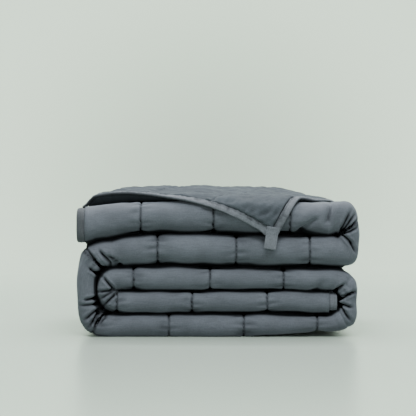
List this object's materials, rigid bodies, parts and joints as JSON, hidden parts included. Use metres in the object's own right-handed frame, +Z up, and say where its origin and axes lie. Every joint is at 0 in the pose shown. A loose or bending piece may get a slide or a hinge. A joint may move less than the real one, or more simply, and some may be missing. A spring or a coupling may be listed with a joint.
{
  "type": "weighted blanket",
  "caption": "Quilted weighted blanket folded in four and rolled over into a stack of layers, with bound edges, one corner turned back over the top and a tape loop at that corner.",
  "frame": {"origin": "centre of the footprint, on the surface that the folded blanket rests on", "axes": "+X along the layers, from the outer end towards the right folds; +Y from the front folds to the back; +Z up"},
  "size_m": [0.3774, 0.3154, 0.2031],
  "materials": {
    "quilted_cloth": "matte brushed microfibre, slate grey",
    "binding_tape": "matte woven binding tape, lighter grey"
  },
  "bodies": {
    "root": {"quilt_body": "quilted_cloth", "binding_corner_front": "binding_tape", "binding_corner_side": "binding_tape", "binding_outer_end": "binding_tape", "binding_inner_ply": "binding_tape", "binding_core_end": "binding_tape", "corner_loop": "binding_tape"}
  },
  "joints": []
}
